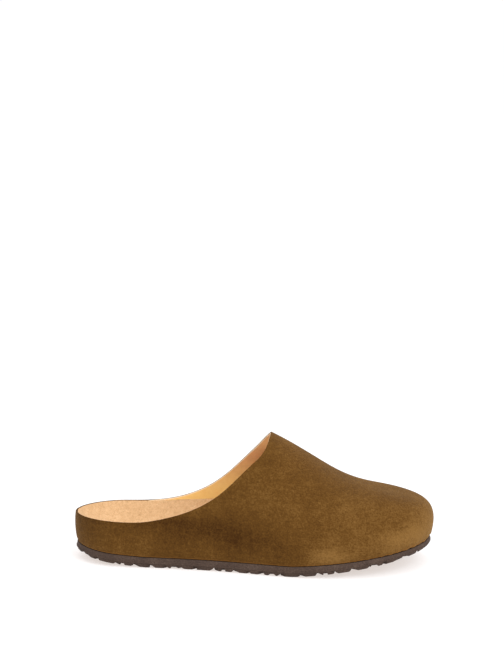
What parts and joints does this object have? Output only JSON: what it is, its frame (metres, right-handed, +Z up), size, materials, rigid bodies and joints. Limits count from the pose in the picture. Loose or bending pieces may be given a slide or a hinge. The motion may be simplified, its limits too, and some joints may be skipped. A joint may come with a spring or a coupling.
{
  "type": "clog slipper",
  "caption": "Backless suede clog slipper for the right foot: seamless upper cut low round the heel, contoured footbed with a deep heel cup, thin zigzag-treaded rubber outsole.",
  "frame": {"origin": "centre of the shoe's plan box, on the floor", "axes": "+X from heel to toe, +Y to the inner side of the foot, +Z up"},
  "size_m": [0.282, 0.103, 0.1018],
  "materials": {
    "sole_rubber": "dull moulded rubber, dark grey-brown",
    "footbed_suede": "undyed light tan suede",
    "upper_suede": "olive-brown suede with a short nap"
  },
  "bodies": {
    "root": {"outsole": "sole_rubber", "footbed": "footbed_suede", "upper": "upper_suede"}
  },
  "joints": []
}
